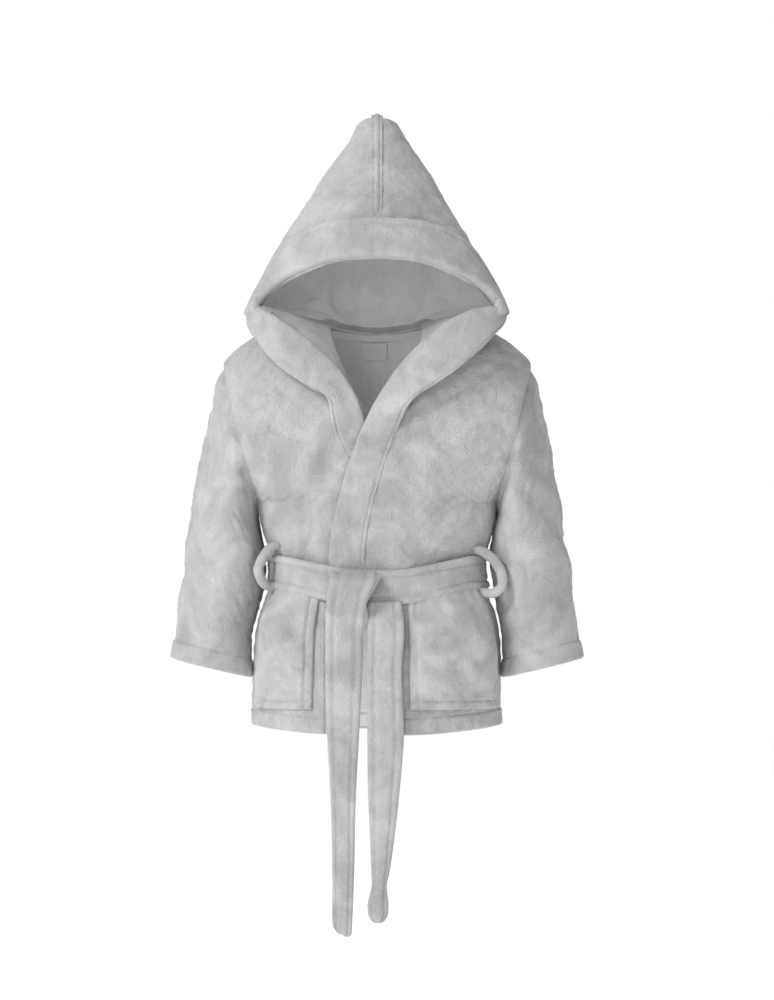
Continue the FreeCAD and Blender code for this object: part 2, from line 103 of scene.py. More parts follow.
def lattice(cell, seed):
    """A fixed random number from -1 to 1 for each whole-number cell."""
    mixed = cell.astype(np.int64) @ np.array([374761393, 668265263, 1274126177]) + seed * 974634777
    mixed &= 0xFFFFFFFF
    mixed = ((mixed ^ (mixed >> 13)) * 1103515245) & 0xFFFFFFFF
    return ((mixed ^ (mixed >> 16)) & 0xFFFF) / 32767.5 - 1.0


def noise(points, size, seed):
    """Smooth random values from about -1 to 1 whose lumps are that many millimetres across."""
    place = points / size
    cell = np.floor(place)
    share = smooth(place - cell)
    total = 0.0
    for corner in np.ndindex(2, 2, 2):
        weight = np.prod(np.where(corner, share, 1 - share), axis=-1)
        total = total + weight * lattice(cell + corner, seed)
    return total


def hermite(knots, values, at):
    """A smooth curve through values at uneven knots."""
    knots, values = np.asarray(knots, float), np.asarray(values, float)
    slopes = np.gradient(values, knots, axis=0)
    at = np.clip(at, knots[0], knots[-1])
    i = np.clip(np.searchsorted(knots, at) - 1, 0, len(knots) - 2)
    gap = knots[i + 1] - knots[i]
    t = (at - knots[i]) / gap
    if values.ndim > 1:
        t, gap = t[..., None], gap[..., None]
    first = (1 + 2 * t) * (1 - t) ** 2 * values[i] + t * (1 - t) ** 2 * gap * slopes[i]
    return first + t * t * (3 - 2 * t) * values[i + 1] + t * t * (t - 1) * gap * slopes[i + 1]


def along(table, at):
    return hermite(list(table), list(table.values()), at)


def through(points, share):
    """A smooth curve through points spaced by their own distances, with share from 0 to 1."""
    points = np.asarray(points, float)
    steps = np.linalg.norm(np.diff(points, axis=0), axis=1)
    knots = np.concatenate([[0], np.cumsum(steps)])
    return hermite(knots, points, np.asarray(share) * knots[-1])


def resample(grid, at, ring=False):
    """Rows of a grid at even shares from 0 to 1 of its length, by a smooth curve through them."""
    count = len(grid)
    place = np.asarray(at) * (count if ring else count - 1)
    first = np.minimum(np.floor(place).astype(int), count - 1 if ring else count - 2)
    t = (place - first).reshape((-1,) + (1,) * (grid.ndim - 1))
    wrap = (lambda i: i % count) if ring else (lambda i: np.clip(i, 0, count - 1))
    a, b, c, d = (grid[wrap(first + k)] for k in (-1, 0, 1, 2))
    return 0.5 * (2 * b + (c - a) * t + (2 * a - 5 * b + 4 * c - d) * t**2 + (3 * b - a - 3 * c + d) * t**3)


def normals(grid, ring):
    """Unit normals of a grid of points. A ring closes on itself along its columns."""
    if ring:
        across = np.roll(grid, -1, axis=1) - np.roll(grid, 1, axis=1)
    else:
        across = np.gradient(grid, axis=1)
    normal = np.cross(across, np.gradient(grid, axis=0))
    length = np.linalg.norm(normal, axis=-1, keepdims=True)
    return normal / np.maximum(length, 1e-9)


# ---------- cloth: draping and thickness


def sheet_faces(rows, columns, ring):
    """Corner numbers of a grid's four-sided faces."""
    across = np.arange(columns if ring else columns - 1)
    row, column = np.meshgrid(np.arange(rows - 1), across, indexing="ij")
    beside = (column + 1) % columns
    corners = [row * columns + column, row * columns + beside]
    corners += [(row + 1) * columns + beside, (row + 1) * columns + column]
    return np.stack(corners, axis=-1).reshape(-1, 4)


def new_mesh(name, points, faces):
    mesh = bpy.data.meshes.new(name)
    mesh.from_pydata((points * METRES).tolist(), [], faces)
    mesh.polygons.foreach_set("use_smooth", [True] * len(faces))
    obj = bpy.data.objects.new(name, mesh)
    bpy.context.scene.collection.objects.link(obj)
    return obj


# Half the thickness of the cloth: one layer, the bands' and belt ends' folded cloth, and the least.
SINGLE, DOUBLE, LEAST_HALF = 2.2, 2.9, 0.3
# A row of stitches sinks into the cloth, and has closer rows of mesh on both sides of it.
STITCH_DEPTH, STITCH_WIDTH, STITCH_REACH, STITCH_ROWS, STITCH_CLEARANCE = 1.9, 1.5, 4.0, 9, 4.4
HEM_FADE = 3.0
# Edges are rounded, over shares of the half thickness, and the lining starts some rows in from them.
EDGE_ROUNDING, FIRST_ROW, EDGE_STEPS, LINING_ROWS = 1.3, 1.5, (0.0, 0.08, 0.3, 0.7, 1.1), 5
LUMP_SIZE, SMALL_LUMP_SIZE, SMALL_LUMPS = 9.0, 4.5, 0.6
# Draping: the most that cloth moves, how firmly it is held, and how far from itself a seam holds it.
DRAPE_FRAMES, DRAPE_REACH, HOLD_LEVELS = 18, 6.0, 8
MIDDLE_HOLD, SEAM_HOLD, SEAM_REACH, SEWN_SHARE = 0.45, 0.8, 18.0, 0.95
ROOMIER = 0.016  # how much wider than its place the cloth is cut, as a share
CLOTH_SETTINGS = {"quality": 6, "mass": 0.2, "bending_stiffness": 14.0, "pin_stiffness": 4.0}
CLOTH_SETTINGS.update(tension_stiffness=20, compression_stiffness=20, shear_stiffness=8)


def drape(grid, hold, swell, ring):
    """The grid after a short cloth simulation. hold is 1 where the cloth is sewn down, and swell is how
    much too big the cloth is for its place, which wrinkles it. Nothing moves beyond DRAPE_REACH."""
    if swell <= 0:
        return grid
    rows, columns = grid.shape[:2]
    flat = grid.reshape(-1, 3)
    obj = new_mesh("draping", flat, sheet_faces(rows, columns, ring).tolist())
    group = obj.vertex_groups.new(name="hold")
    levels = np.round(hold.reshape(-1) * HOLD_LEVELS).astype(int)
    for level in np.unique(levels):
        group.add(np.flatnonzero(levels == level).tolist(), float(level) / HOLD_LEVELS, "REPLACE")
    cloth = obj.modifiers.new("cloth", "CLOTH")
    settings = cloth.settings
    for setting, value in CLOTH_SETTINGS.items():
        setattr(settings, setting, value)
    settings.vertex_group_mass = "hold"
    settings.shrink_min = -swell
    settings.effector_weights.gravity = 0.4
    cloth.collision_settings.use_collision = False
    scene = bpy.context.scene
    for number in range(1, DRAPE_FRAMES + 1):
        scene.frame_set(number)
    moved = obj.evaluated_get(bpy.context.evaluated_depsgraph_get()).to_mesh()
    after = np.empty(len(moved.vertices) * 3)
    moved.vertices.foreach_get("co", after)
    bpy.data.objects.remove(obj)
    scene.frame_set(1)
    shift = after.reshape(-1, 3) / METRES - flat
    far = np.linalg.norm(shift, axis=1, keepdims=True)
    shift *= DRAPE_REACH * np.tanh(far / DRAPE_REACH) / np.maximum(far, TINY)
    return (flat + shift).reshape(grid.shape)


def stations(length, spacing, half, ring=False, stitches=()):
    """Shares along a length: evenly spaced, and closer beside a rounded edge or a row of stitches."""
    count = max(4, int(round(length / spacing)))
    if ring:
        return np.arange(count) / count
    inner = np.linspace(FIRST_ROW * half, length - FIRST_ROW * half, count)
    for place in stitches:
        inner = inner[np.abs(inner - place) > STITCH_CLEARANCE]
        inner = np.concatenate([inner, place + np.linspace(-STITCH_REACH, STITCH_REACH, STITCH_ROWS)])
    edge = EDGE_ROUNDING * half
    inner = np.sort(inner[(inner > edge) & (inner < length - edge)])
    near = np.array(EDGE_STEPS) * half
    return np.concatenate([near, inner, length - near[::-1]]) / length


def distances(grid):
    """How far each point is from the grid's four sides, along the cloth: u0, u1, v0 and v1."""
    found = {}
    for axis, name in ((1, "u"), (0, "v")):
        steps = np.linalg.norm(np.diff(grid, axis=axis), axis=-1)
        run = np.cumsum(steps, axis=axis)
        start = np.zeros_like(run.take([0], axis=axis))
        run = np.concatenate([start, run], axis=axis)
        found[name + "0"] = run
        found[name + "1"] = run.take([-1], axis=axis) - run
    return found


def half_thickness(grid, near, half, lump, seed, hems, puff, rounded):
    """Half the cloth's thickness at each point: lumpy, sunk along its stitches and rounded at its edges."""
    thick = np.full(grid.shape[:2], half)
    thick += lump * (noise(grid, LUMP_SIZE, seed) + SMALL_LUMPS * noise(grid, SMALL_LUMP_SIZE, seed + 50))
    stitched = np.zeros_like(thick)
    for side, distance, extra in hems:
        thick += extra * (1 - smooth((near[side] - distance) / HEM_FADE))
        stitched = np.maximum(stitched, bump(near[side], distance, STITCH_WIDTH))
    thick = np.maximum(thick - STITCH_DEPTH * stitched, LEAST_HALF)
    if puff:
        thick += puff(grid, near)
    for side in rounded:
        inside = 1 - np.clip(near[side] / (EDGE_ROUNDING * half), 0, 1)
        thick = thick * np.sqrt(np.maximum(0.0, 1 - inside**2))
    return thick


def cloth_piece(
    name, surface, size, half=SINGLE, offset=0.0, ring=False, hems=(), folds=None, puff=None, swell=0.0,
    free=(), butt=(), joined=False, spacing=3.0, coarse=8.0, lump=0.45, centre_x=0.0, seed=1, mirror=False,
):
    """A closed soft shell along surface(u, v), which is (width, length) millimetres of cloth.

    half is half its thickness, and offset is how far its middle stands out from the surface. hems are
    (side, distance, extra half thickness): a row of stitches that far from a side, and the thicker folded
    cloth beyond it. free names the sides that aren't sewn down, and butt those cut square to meet another
    piece. folds moves the bare sheet and puff changes its half thickness, each given the points and their
    distances. The sheet is draped on a grid as coarse as coarse, and meshed at spacing. mirror is for the
    wearer's right, whose surfaces are given as on the left."""
    width, length = size
    rows, columns = (max(5, int(run / coarse) + 1) for run in (length, width))
    u = np.arange(columns) / columns if ring else np.linspace(0, 1, columns)
    grid = surface(*np.meshgrid(u, np.linspace(0, 1, rows))) * (MIRROR if mirror else 1.0)
    normal = normals(grid, ring)
    away = grid - stack(centre_x, 0.0, grid[..., 2])
    outward = -1 if (normal * away).sum() < 0 else 1
    normal = normal * outward
    grid = grid + normal * offset
    near = distances(grid)
    if folds:
        grid = grid + folds(grid, normal, near)
    sides = [side for side in near if not (ring and side[0] == "u")]
    sewn = np.zeros(grid.shape[:2])
    for side in sides:
        if side not in free:
            sewn = np.maximum(sewn, 1 - smooth(near[side] / SEAM_REACH))
    hold = np.where(sewn > SEWN_SHARE, 1.0, mix(MIDDLE_HOLD, SEAM_HOLD, sewn))
    grid = drape(grid, hold, swell, ring)
    stitches = {"u": [], "v": []}
    for (way, end), distance, _ in hems:
        run = width if way == "u" else length
        stitches[way].append(distance if end == "0" else run - distance)
    rows_at = stations(length, spacing, half, False, stitches["v"])
    rows_at = np.concatenate([[0.0] * ("v0" in butt), rows_at, [1.0] * ("v1" in butt)])
    grid = resample(grid, rows_at)
    columns_at = stations(width, spacing, half, ring, stitches["u"])
    grid = np.swapaxes(resample(np.swapaxes(grid, 0, 1), columns_at, ring), 0, 1)
    near = distances(grid)
    rounded = [side for side in sides if side not in butt]
    thick = half_thickness(grid, near, half, lump, seed, hems, puff, rounded)
    if "v0" in butt:
        thick[0] = 0.0
    if "v1" in butt:
        thick[-1] = 0.0
    return shell(name, grid, normals(grid, ring) * outward * thick[..., None], ring, joined)


def shell(name, grid, lift, ring, joined):
    """A closed mesh between grid + lift and grid - lift, which meet along its free edges. A joined piece's
    lining runs on to its u1 side, where its twin goes on."""
    rows, columns = grid.shape[:2]
    outer = np.arange(rows * columns).reshape(rows, columns)
    inner = outer + rows * columns
    inner[[0, -1], :] = outer[[0, -1], :]
    if not ring:
        inner[:, [0, -1]] = outer[:, [0, -1]]
    quads = sheet_faces(rows, columns, ring)
    faces = np.concatenate([quads, inner.reshape(-1)[quads][:, ::-1]])
    points = np.concatenate([(grid + lift).reshape(-1, 3), (grid - lift).reshape(-1, 3)])
    used, faces = np.unique(faces, return_inverse=True)
    faces = faces.reshape(-1, 4)
    points = points[used]
    a, b, c = (points[faces[:, k]] for k in range(3))
    if (a * np.cross(b, c)).sum() < 0:
        faces = faces[:, ::-1]
    obj = new_mesh(name, points, faces.tolist())
    # Lining faces take material index 1. On a lined piece that is the much paler fleece, painted light for
    # the shaded inside.
    inside = np.zeros((2, rows - 1, columns if ring else columns - 1), np.int32)
    inside[1, LINING_ROWS:-LINING_ROWS, :] = 1
    if not ring:
        inside[1, :, :LINING_ROWS] = 0
        if not joined:
            inside[1, :, -LINING_ROWS:] = 0
    obj.data.polygons.foreach_set("material_index", inside.reshape(-1))
    return obj


# ---------- the torso's form


def hem_z(x):
    return -ROBE_LENGTH + HEM_SIDE_RISE * (x / HEM_HALF_WIDTH) ** 2


def tuck(z):
    return np.exp(-(((z + WAIST_DROP) / WAIST_SPAN) ** 2))


def half_width(z):
    level = (z + ROBE_LENGTH) / (ROBE_LENGTH - UNDERARM_DROP)
    return mix(HEM_HALF_WIDTH, CHEST_HALF_WIDTH, level) - WAIST_TUCK_X * tuck(z)


def half_depth(z):
    level = (z + ROBE_LENGTH) / (ROBE_LENGTH - UNDERARM_DROP)
    return mix(HEM_HALF_DEPTH, CHEST_HALF_DEPTH, level) - WAIST_TUCK_Y * tuck(z)


def angle_at(x_share):
    return np.arccos(power(np.clip(x_share, -1, 1), ROUNDNESS / 2))


def below_underarm(angle, z):
    x = half_width(z) * power(np.cos(angle), 2 / ROUNDNESS)
    y = half_depth(z) * power(np.sin(angle), 2 / ROUNDNESS)
    return stack(x, -y, z)


def shoulder_reach(rise):
    return mix(half_width(-UNDERARM_DROP), SHOULDER_HALF_WIDTH, rise)


def above_underarm(angle, rise, back=False):
    """The torso from the armhole to the shoulder line, with rise from 0 to 1."""
    x_share = power(np.cos(angle), 2 / ROUNDNESS)
    y_share = np.abs(np.sin(angle)) ** (2 / ROUNDNESS)
    x = x_share * shoulder_reach(rise)
    neck_share = rise * NECK_HALF_WIDTH / SHOULDER_HALF_WIDTH
    slope = np.maximum(0.0, (np.abs(x_share) - neck_share) / (1 - neck_share))
    top = NECK_SIDE_RISE * rise * smooth(np.abs(x) / NECK_HALF_WIDTH)
    z_middle, z_side = mix(-UNDERARM_DROP, top, rise), mix(-UNDERARM_DROP, -SHOULDER_DROP, rise)
    side_depth = ARMHOLE_HALF_DEPTH * np.maximum(0.0, np.sin(math.pi * rise)) ** ARMHOLE_FULLNESS
    middle_depth = half_depth(-UNDERARM_DROP) * np.sqrt(np.maximum(0.0, 1 - rise**CHEST_CURVE))
    if back:
        reach = smooth(NECK_FULLNESS * (1 - np.abs(x) / (NECK_SPREAD * NECK_HALF_WIDTH)))
        middle_depth = middle_depth + NECK_BACK_DEPTH * reach * rise**NECK_CURVE
    depth = mix(side_depth, middle_depth, y_share)
    return stack(x, depth if back else -depth, mix(z_middle, z_side, slope**SHOULDER_CURVE))


def torso_point(edge_x, across, up, back=False):
    """A panel's points: across runs from its edge to its side, and up from hem to shoulder."""
    low = np.minimum(up / SKIRT_SHARE, 1.0)
    z = mix(-ROBE_LENGTH, -UNDERARM_DROP, low)
    angle = mix(angle_at(edge_x(z) / half_width(z)), 0.0, across)
    skirt = below_underarm(angle, z)
    skirt = below_underarm(angle, z + (hem_z(skirt[..., 0]) + ROBE_LENGTH) * (1 - low))
    if back:
        skirt = skirt * np.array([1.0, -1.0, 1.0])
    share = np.clip((up - SKIRT_SHARE) / (1 - SKIRT_SHARE), 0, 1)
    rise = mix(share, (1 - np.cos(math.pi * share)) / 2, 0.5)
    z = mix(-UNDERARM_DROP, 0.0, rise)
    angle = mix(angle_at(edge_x(z) / shoulder_reach(rise)), 0.0, across)
    chest = above_underarm(angle, rise, back)
    return np.where((up <= SKIRT_SHARE)[..., None], skirt, chest)


def front_point(x, z):
    low = below_underarm(angle_at(x / half_width(z)), z)
    rise = np.clip(1 + z / UNDERARM_DROP, 0, 1)
    high = above_underarm(angle_at(x / shoulder_reach(rise)), rise)
    return np.where((z <= -UNDERARM_DROP)[..., None], low, high)


# The panels' edges run this far under the band and inside the neck seam.
BAND_LAP, NECK_LAP, EDGE_TURN = 5.0, 6.0, 12.0
COVER_MARGIN, COVER_FADE = 8.0, 30.0
LAP_END_DROP, LAP_END_FADE = 301.0, 11.0


def left_free_edge(z):
    skirt_x, belt_x, vee_x = -9.5, -50.0, -10.0
    belt_z, skirt_z = -243.0, -298.0
    below = mix(skirt_x, belt_x, smooth((z - skirt_z) / (belt_z - skirt_z)))
    rise = np.clip((z - belt_z) / (-VEE_DROP - belt_z), 0, 1)
    return np.where(z < belt_z, below, mix(belt_x, vee_x, rise**1.6))


def right_free_edge(z):
    skirt_x, hidden_x, vee_x = 19.0, -12.0, 12.0
    skirt_z, hidden_z, turn_z = -298.0, -262.0, -160.0
    below = mix(skirt_x, hidden_x, smooth((z - skirt_z) / (hidden_z - skirt_z)))
    above = mix(hidden_x, vee_x, smooth((z - turn_z) / (-VEE_DROP - turn_z)))
    return np.where(z < hidden_z, below, above)


def panel_edge(free_edge):
    def edge(z):
        along_band = free_edge(z) + BAND_WIDTH - BAND_LAP
        rise = (z + VEE_DROP + EDGE_TURN) / (VEE_DROP + EDGE_TURN)
        return np.where(rise < 0, along_band, mix(along_band, NECK_HALF_WIDTH - NECK_LAP, smooth(rise)))

    return edge


def set_back(points):
    """Points of the right front, mirrored to +X, moved in where the left front covers them."""
    x, z = points[..., 0], points[..., 2]
    covered = smooth((BAND_WIDTH - left_free_edge(z) + COVER_MARGIN - x) / COVER_FADE)
    return points + stack(0, LAP_DEPTH * covered * smooth((z + LAP_END_DROP) / LAP_END_FADE), 0)


def front_panel(free_edge, covered):
    edge = panel_edge(free_edge)

    def surface(u, v):
        points = torso_point(edge, 1 - u, v)
        return set_back(points) if covered else points

    return surface


# The lapels' rolled and outer edges, from the crossing up to the hood's corners. OVER is the left front's,
# which laps over, and HIDDEN the right front's, mirrored.
CORNER_INNER, CORNER_OUTER = (122, -60, 23), (131, -26, 15)
OVER_ROLL = [(6, -80, -66), (26, -80, -40), (50, -79, -15), (84, -76, 10), CORNER_INNER]
OVER_OUTER = [(38, -87, -76), (62, -88, -59), (90, -84, -38), (117, -72, -13), (129, -50, 1)]
OVER_OUTER.append(CORNER_OUTER)
HIDDEN_ROLL = [(20, -80, -76), (38, -80, -49), (62, -79, -24), (94, -75, 2), CORNER_INNER]
HIDDEN_OUTER = [(54, -87, -72), (74, -88, -60), (98, -83, -43), (120, -71, -19), (130, -50, -2)]
HIDDEN_OUTER.append(CORNER_OUTER)
FACING_EDGE = [(12, -70, -86), (26, -66, -62), (40, -60, -32), (47, -46, -12), (48, -24, 0), (46, 4, 4)]
CROWN = 8.0  # how far a lapel's middle stands out
BAND_FLAT_SHARE, LAPEL_START = 0.62, 14.0  # the band's flat share, and how far below the crossing it ends
TRACK_LEAD, TRACK_START = 24.0, 0.2  # a lapel's edges start a little down the flat band, to run on smoothly
FACING_TUCK, FACING_FROM, FACING_GAP, FACING_BULGE = 0.9, 0.64, 3.0, 5.0


def front_band(free_edge, covered):
    """The double strip along a front's free edge, and its rolled lapel above the crossing."""
    top_z = -VEE_DROP - LAPEL_START
    lift = LAP_DEPTH if covered else 0.0
    roll, outer = (HIDDEN_ROLL, HIDDEN_OUTER) if covered else (OVER_ROLL, OVER_OUTER)

    def flat_point(across, z):
        x = free_edge(z) + BAND_WIDTH * across
        share = (UNDERARM_DROP + z) / (UNDERARM_DROP - ROBE_LENGTH)
        points = front_point(x, z + np.maximum(0.0, (hem_z(x) + ROBE_LENGTH) * share))
        return set_back(points) if covered else points

    def surface(u, v):
        across = 1 - u
        flat = flat_point(across, mix(-ROBE_LENGTH, top_z, np.minimum(v / BAND_FLAT_SHARE, 1.0)))
        share = np.clip((v - BAND_FLAT_SHARE) / (1 - BAND_FLAT_SHARE), 0, 1)
        edges = []
        for side, track in ((0.0, roll), (1.0, outer)):
            start = [flat_point(np.array(side), np.array(top_z - lead)) for lead in (TRACK_LEAD, 0.0)]
            rest = [np.array(p) + (0, lift * (1 - i / (len(track) - 1)), 0) for i, p in enumerate(track)]
            edges.append(through(start + rest, mix(TRACK_START, 1.0, share)))
        crown = -CROWN * np.sin(math.pi * u) * smooth(2 * share)
        lapel = edges[0] + (edges[1] - edges[0]) * across[..., None] + stack(0, crown, 0)
        return np.where((v <= BAND_FLAT_SHARE)[..., None], flat, lapel)

    return surface


def lapel_facing(free_edge, covered):
    """The lapel's inner cloth, from behind its rolled edge round to its loose edge inside the neck."""
    band = front_band(free_edge, covered)

    def surface(u, v):
        at_roll = band(FACING_TUCK * np.ones_like(u), mix(FACING_FROM, 1.0, v)) + stack(0, FACING_GAP, 0)
        at_neck = through(FACING_EDGE, v)
        bulge = -FACING_BULGE * np.sin(math.pi * u) * smooth(2 * v)
        return at_roll + (at_neck - at_roll) * u[..., None] + stack(0, bulge, 0)

    return surface


def back_surface(u, v):
    side = 2 * u - 1
    points = torso_point(np.zeros_like, np.abs(side), v, back=True)
    return points * stack(np.where(side < 0, -1, 1), 1, 1)


# ---------- the hood's form

HOOD_SECTIONS = {  # height: half width, y of the front, y of the back
    4: (64, -62, 61),
    12: (104, -82, 70),
    24: (123, -94, 82),
    38: (125, -101, 89),
    52: (120, -104, 93),
    93: (98, -97, 92),
    155: (59, -62, 72),
    197: (31, -27, 46),
    212: (22, -13, 33),
    222: (13, -3, 25),
    227: (2, 8, 14),
}
HOOD_PEAK = 227.0
# Heights by angle from the front: the hood's rim, and the brim's welt and fold.
HOOD_RIM = {0: 70, 24: 66, 41: 55, 50: 48, 58: 41, 66: 31, 73: 21, 81: 8, 92: 2, 130: 3, 184: 1}
BRIM_WELT = {0: 111, 35: 106, 55: 95, 70: 79, 84: 50, 94: 12}
BRIM_FOLD = {0: 70, 24: 66, 41: 55, 56: 42, 67: 24, 76: 9}
# The sides' first and last angles, which pass the middle a little so that the two sides overlap.
SIDE_FROM, SIDE_TO = -2.0, 184.0
# Where a side is drawn to the neck seam and to the brim's corner: angle, its spread, and up to what height.
NECK_FROM, NECK_FADE, NECK_HEIGHT = 86.0, 16.0, 18.0
CORNER_AT, CORNER_SPREAD, CORNER_HEIGHT = 74.0, 8.0, 24.0
# Shares of the brim from its middle: where it turns to the corner, and where it has turned.
BRIM_TURN_FROM, BRIM_TURN, BRIM_LAP = 0.62, 0.9, 0.4
RIDGE_UP, RIDGE_DOWN = (109, 135, 155, 176, 197, 213), (213, 197, 176, 155, 93, 52, 24)
RIDGE_TOP, RIDGE_HALF_WIDTH, RIDGE_POINT, RIDGE_TIP = (0.0, 11.0, 225.0), 6.0, 0.045, 0.4
PUCKER, PUCKER_LENGTH = 0.55, 7.0


def hood_form(degrees, z):
    """The hood's outer form at an angle from 0 in front to 180 at the back."""
    section = along(HOOD_SECTIONS, z)
    turn = np.radians(degrees)
    x = section[..., 0] * np.sin(turn)
    return stack(x, mix(section[..., 1], section[..., 2], (1 - np.cos(turn)) / 2), z)


def neck_edge(x):
    """The back panel's upper edge, which the hood is sewn to."""
    share = np.abs(x) / NECK_HALF_WIDTH
    depth = NECK_BACK_DEPTH * smooth(NECK_FULLNESS * (1 - share / NECK_SPREAD))
    return stack(x, depth, NECK_SIDE_RISE * smooth(share))


def hood_side(u, v):
    """One side of the hood, joined below to the back panel's neck and to the brim's corner."""
    degrees = mix(SIDE_FROM, SIDE_TO, u)
    rim = along(HOOD_RIM, degrees)
    z = mix(rim, HOOD_PEAK, v)
    at_neck = smooth((degrees - NECK_FROM) / NECK_FADE) * (1 - smooth((z - rim) / NECK_HEIGHT))
    at_corner = bump(degrees, CORNER_AT, CORNER_SPREAD) * (1 - smooth((z - rim) / CORNER_HEIGHT))
    neck = neck_edge(NECK_HALF_WIDTH * np.sin(np.radians(degrees)))
    points = mix(hood_form(degrees, z), neck, at_neck[..., None])
    corner = (np.array(CORNER_INNER, float) + np.array(CORNER_OUTER, float)) / 2
    return mix(points, corner, at_corner[..., None])


def brim(u, v):
    """The turned-back brim, from its fold (u 0) to its welt (u 1), ending in the lapels' corners."""
    share = np.abs(2 * v - 1)
    fold, welt = mix(0.0, max(BRIM_FOLD), share), mix(0.0, max(BRIM_WELT), share)
    z = mix(along(BRIM_FOLD, fold), along(BRIM_WELT, welt), u)
    points = hood_form(mix(fold, welt, u), z)
    across = u[..., None]
    corner = mix(np.array(CORNER_INNER, float), np.array(CORNER_OUTER, float), across)
    lapel = mix(np.array(OVER_ROLL[-2], float), np.array(OVER_OUTER[-2], float), across)
    past = np.maximum(0.0, share - BRIM_TURN) / (1 - BRIM_TURN)
    corner = mix(corner, lapel, BRIM_LAP * past[..., None])
    corner = corner - stack(0, 0.5 * CROWN * np.sin(math.pi * u), 0)
    turned = smooth((share - BRIM_TURN_FROM) / (BRIM_TURN - BRIM_TURN_FROM))
    return mix(points, corner, turned[..., None]) * stack(np.where(v < 0.5, 1, -1), 1, 1)


def hood_ridge(u, v):
    """The strip over the hood's middle seam, from a point at the brim over the crown to the neck."""
    track = [hood_form(np.array(0.0), np.array(float(z))) for z in RIDGE_UP] + [np.array(RIDGE_TOP)]
    track += [hood_form(np.array(180.0), np.array(float(z))) for z in RIDGE_DOWN]
    width = mix(RIDGE_TIP, 1.0, smooth(v / RIDGE_POINT))
    return through(track, v) + stack(mix(-RIDGE_HALF_WIDTH, RIDGE_HALF_WIDTH, u) * width, 0, 0)


def puckers(points, near):
    """The ridge's cloth puckered between its two rows of stitches."""
    uneven = 2.0 * noise(points, 14.0, 91)
    return PUCKER * np.sin(2 * math.pi * near["v0"] / PUCKER_LENGTH + uneven)


# ---------- sleeves, belt and pockets


# A sleeve stands this far out from its armhole, and its cuff hangs forward.
ARMHOLE_INSET, ARMHOLE_STAND, CUFF_FORWARD = 3.0, 3.2, 6.0
# How far it swells outside the arm and at its head, and hollows under the arm.
SLEEVE_SWELL, HEAD_SWELL, HEAD_SHARE, UNDERARM_HOLLOW, HOLLOW_SHARE = 7.0, 6.0, 0.08, 9.0, 0.8
CUFF_FLARE, FLARE_FROM = 2.4, 0.9


def sleeve(u, v):
    """The left sleeve's outer skin: u runs round it and v from the armhole to the cuff."""
    turn = 2 * math.pi * u
    inward, forward = np.cos(turn), np.sin(turn)
    rise = (1 - inward) / 2
    arm = above_underarm(0.0 * u, rise)
    side = np.copysign(arm[..., 1], forward)
    armhole = stack(
        arm[..., 0] - ARMHOLE_INSET,
        side + ARMHOLE_STAND * forward,
        arm[..., 2] - ARMHOLE_STAND * inward,
    )
    cuff = stack(
        CUFF_X - CUFF_HALF_WIDTH * inward,
        CUFF_HALF_DEPTH * forward - CUFF_FORWARD,
        -CUFF_DROP - CUFF_SLANT * inward,
    )
    swell = SLEEVE_SWELL * np.sin(math.pi * v) * rise + HEAD_SWELL * smooth(v / HEAD_SHARE) * (1 - v)
    hollow = UNDERARM_HOLLOW * (1 - rise) * np.sin(math.pi * np.clip(v / HOLLOW_SHARE, 0, 1)) ** 2
    flare = CUFF_FLARE * smooth((v - FLARE_FROM) / (1 - FLARE_FROM))
    flared = stack(-flare * inward, flare * forward, 0)
    return armhole + (cuff - armhole) * v[..., None] + stack(swell - hollow, 0, 0) + flared


def belt_centre_z(angle):
    return -WAIST_DROP - BELT_FRONT_DIP * np.maximum(0.0, np.sin(angle)) ** 4


def belt_half_height_at(angle):
    return mix(BELT_SIDE_HALF_HEIGHT, BELT_HALF_HEIGHT, smooth(np.abs(np.sin(angle))))


def belt_wrap(u, v):
    angle = 2 * math.pi * u
    z = belt_centre_z(angle) + belt_half_height_at(angle) * (1 - 2 * v)
    return below_underarm(angle, z)


# A pocket's mouth is this far under the belt. It stands off the robe and bulges, less so at its mouth.
MOUTH_LAP, POCKET_STAND, MOUTH_FROM, MOUTH_FLATNESS = 4.0, 1.5, 0.75, 0.8


def pocket(inner_x):
    def surface(u, v):
        inner_angle = angle_at(inner_x / HEM_HALF_WIDTH)
        angle = mix(math.radians(POCKET_OUTER_ANGLE), inner_angle, u)
        belt_bottom = belt_centre_z(angle) - belt_half_height_at(angle)
        z = mix(-POCKET_BOTTOM_DROP, belt_bottom + MOUTH_LAP, v)
        flatter = MOUTH_FLATNESS * smooth((v - MOUTH_FROM) / (1 - MOUTH_FROM))
        bulge = POCKET_BULGE * ((1 - (2 * u - 1) ** 4) * smooth(3 * v) * (1 - flatter))
        points = below_underarm(angle, z)
        outward = points / stack(half_width(z) ** 2, half_depth(z) ** 2, np.inf)
        outward /= np.linalg.norm(outward, axis=-1, keepdims=True)
        return points + outward * (CLOTH + POCKET_STAND + bulge)[..., None]

    return surface


# ---------- folds and stuffing of the cloth


def robe_folds(depth, seed):
    """Soft upright folds, deepest where the belt gathers the cloth."""
    gather_drop, gather_span, elsewhere, narrow, broad = WAIST_DROP + 6.0, 75.0, 0.25, 26.0, 60.0

    def folds(points, normal, near):
        upright = points * np.array([1.0, 1.0, 0.22])
        gathered = bump(points[..., 2], -gather_drop, gather_span)
        wave = noise(upright, narrow, seed) * mix(elsewhere, 1.0, gathered)
        wave = wave + 0.5 * noise(upright, broad, seed + 1)
        hold = smooth(near["v0"] / 20.0) * smooth(-points[..., 2] / 90.0)
        return normal * (depth * wave * hold)[..., None]

    return folds


